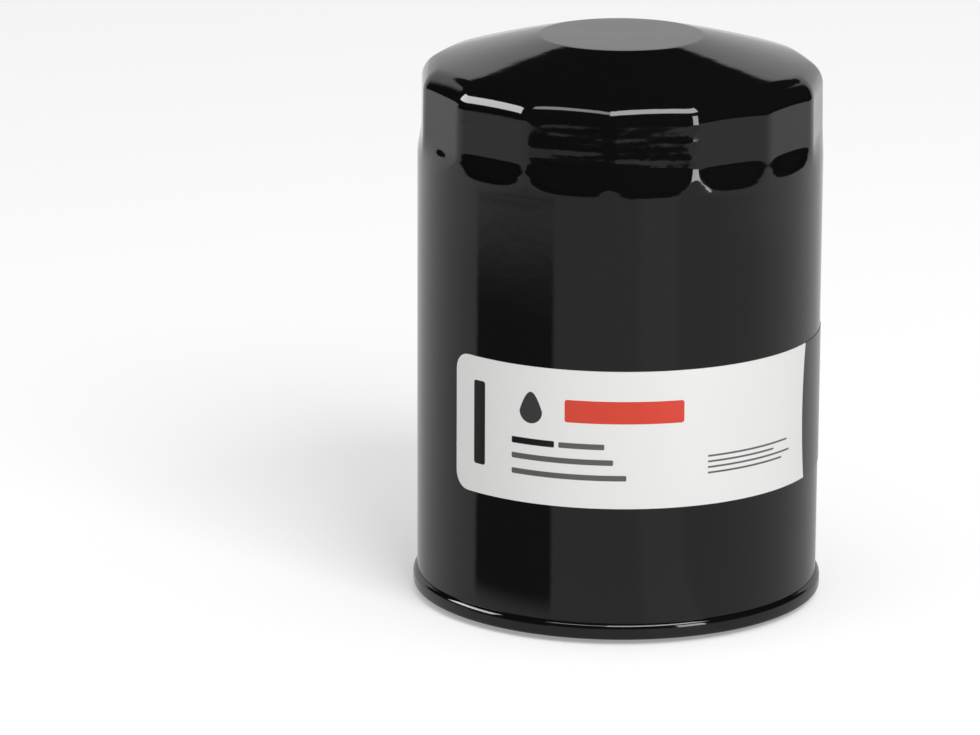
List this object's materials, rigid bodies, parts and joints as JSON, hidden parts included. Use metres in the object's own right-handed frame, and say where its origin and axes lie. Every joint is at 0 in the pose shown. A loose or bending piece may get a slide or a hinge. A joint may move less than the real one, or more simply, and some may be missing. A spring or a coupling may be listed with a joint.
{
  "type": "spin-on oil filter",
  "caption": "Black spin-on oil filter can with a fluted dome, double-seamed lid, rubber gasket and threaded hub, holding a pleated element and its valves.",
  "frame": {"origin": "on the can's axis, in the plane of the gasket's sealing face, which is the lowest point", "axes": "+Z along the axis towards the fluted dome; the label faces -Y"},
  "size_m": [0.0948, 0.0948, 0.131],
  "materials": {
    "can_black": "gloss black enamel",
    "label_white": "printed white film",
    "lid_black": "gloss black enamel",
    "compound": "dull",
    "gasket_rubber": "satin black nitrile",
    "plate_steel": "bare pressed steel",
    "silicone": "matt silicone",
    "cap_steel": "bright tinned sheet",
    "potting": "cured adhesive",
    "media": "resin-treated paper",
    "tube_steel": "bright tinned sheet",
    "valve_steel": "yellow zinc plate",
    "spring_steel": "spring wire"
  },
  "bodies": {
    "housing": {"can": "can_black", "label": "label_white", "seam_lid": "lid_black", "seam_compound": "compound", "gasket": "gasket_rubber", "tapping_plate": "plate_steel", "anti_drain_collar": "silicone", "anti_drain_web": "silicone", "lower_end_cap": "cap_steel", "upper_end_cap": "cap_steel", "lower_potting": "potting", "upper_potting": "potting", "pleated_media": "media", "media_seam_clip": "cap_steel", "centre_tube": "tube_steel", "bypass_seat": "valve_steel", "bypass_cage": "valve_steel", "bypass_spring": "spring_steel", "hold_down_spring": "spring_steel"},
    "bypass_poppet": {"bypass_poppet": "valve_steel", "bypass_facing": "gasket_rubber"},
    "anti_drain_lip": {"anti_drain_lip": "silicone"}
  },
  "joints": [
    {"name": "bypass_opening", "type": "slide", "parent": "housing", "child": "bypass_poppet", "axis": [0, 0, -1], "range_m": [0, 0.0035], "stiffness_N_per_m": 2800, "springref_m": -0.0055, "deforming": ["bypass_spring"]},
    {"name": "anti_drain_lift", "type": "slide", "parent": "housing", "child": "anti_drain_lip", "axis": [0, 0, 1], "range_m": [0, 0.0015], "stiffness_N_per_m": 200, "springref_m": -0.002, "deforming": ["anti_drain_web"]}
  ]
}
